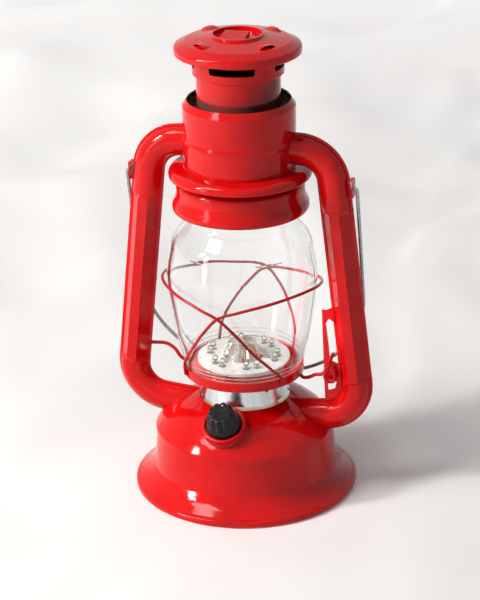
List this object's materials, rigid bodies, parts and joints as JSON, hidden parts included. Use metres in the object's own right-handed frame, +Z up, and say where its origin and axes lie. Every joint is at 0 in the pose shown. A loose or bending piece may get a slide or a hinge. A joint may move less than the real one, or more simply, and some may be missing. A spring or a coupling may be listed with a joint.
{
  "type": "LED hurricane lantern",
  "caption": "Battery LED lantern in tubular hurricane form, with a round sheet-metal base, side tubes, sprung sliding hood, glass globe in a wire guard, dimmer knob and swinging bail.",
  "frame": {"origin": "middle of the base's underside, where the hem rests", "axes": "+Z up, +X towards the tube that carries the lift bracket, -Y towards the dimmer knob"},
  "size_m": [0.1772, 0.15, 0.3154],
  "materials": {
    "enamel": "gloss",
    "black_enamel": "satin",
    "black_plastic": "matt",
    "steel": "satin",
    "cell_metal": "satin",
    "brass": "satin",
    "knob_plastic": "satin",
    "circuit_board": "satin",
    "red_insulation": "satin",
    "black_insulation": "satin",
    "bright_steel": "brushed",
    "white_plastic": "satin",
    "light_board": "satin",
    "led_resin": "gloss",
    "lens_resin": "gloss",
    "globe_glass": "gloss",
    "wire_steel": "satin"
  },
  "bodies": {
    "lantern_frame": {"base_skirt": "enamel", "base_dome": "enamel", "bottom_tray": "black_enamel", "battery_holder": "black_plastic", "tray_screws": "steel", "battery_cells": "cell_metal", "contact_plates": "steel", "dimmer_pot": "steel", "pot_nut": "steel", "knurled_ring": "enamel", "control_board": "circuit_board", "red_leads": "red_insulation", "black_leads": "black_insulation", "burner_cone": "bright_steel", "led_column": "white_plastic", "led_board": "light_board", "led_screws": "steel", "leds": "led_resin", "reflector_lens": "lens_resin", "left_tube_front": "enamel", "left_tube_back": "enamel", "right_tube_front": "enamel", "right_tube_back": "enamel", "bail_ear_left": "enamel", "bail_ear_right": "enamel", "lift_bracket": "enamel", "bracket_rivets": "steel", "canister": "enamel", "canister_brim": "enamel", "spring_stop": "steel", "hood_spring": "steel"},
    "door": {"battery_door": "black_plastic"},
    "dimmer": {"knob": "knob_plastic", "pot_shaft": "brass"},
    "globe_carriage": {"globe_plate": "enamel", "globe": "globe_glass", "guard_wire_left": "enamel", "guard_wire_right": "enamel"},
    "lift_lever": {"lift_wire": "enamel"},
    "hood": {"bell": "enamel", "chimney": "enamel", "spring_collar": "steel", "vent_collar": "enamel", "hood_cap": "enamel"},
    "handle": {"bail": "wire_steel"}
  },
  "joints": [
    {"name": "knob_turn", "type": "hinge", "parent": "lantern_frame", "child": "dimmer", "pos_m": [0, -0.04366, 0.05637], "axis": [0, -0.515, 0.8572], "range_deg": [0, 300]},
    {"name": "door_twist", "type": "hinge", "parent": "lantern_frame", "child": "door", "pos_m": [0, 0, 0.0015], "axis": [0, 0, -1], "range_deg": [0, 40]},
    {"name": "globe_lift", "type": "slide", "parent": "lantern_frame", "child": "globe_carriage", "axis": [0, 0, 1], "range_m": [0, 0.004], "stiffness_N_per_m": 400, "springref_m": -0.01, "deforming": ["hood_spring"]},
    {"name": "lift_wire_swing", "type": "hinge", "parent": "lantern_frame", "child": "lift_lever", "pos_m": [-0.0672, 0, 0.092], "axis": [0, -1, 0], "range_deg": [0, 3.47]},
    {"name": "hood_lift", "type": "slide", "parent": "globe_carriage", "child": "hood", "axis": [0, 0, 1], "range_m": [0, 0.0035], "stiffness_N_per_m": 400, "springref_m": -0.01, "deforming": ["hood_spring"]},
    {"name": "bail_swing", "type": "hinge", "parent": "lantern_frame", "child": "handle", "pos_m": [0, 0, 0.2165], "axis": [1, 0, 0], "range_deg": [0, 315]}
  ],
  "couplings": [
    {"joint": "lift_wire_swing", "follows": "globe_lift", "rad_per_m": 15.1}
  ]
}
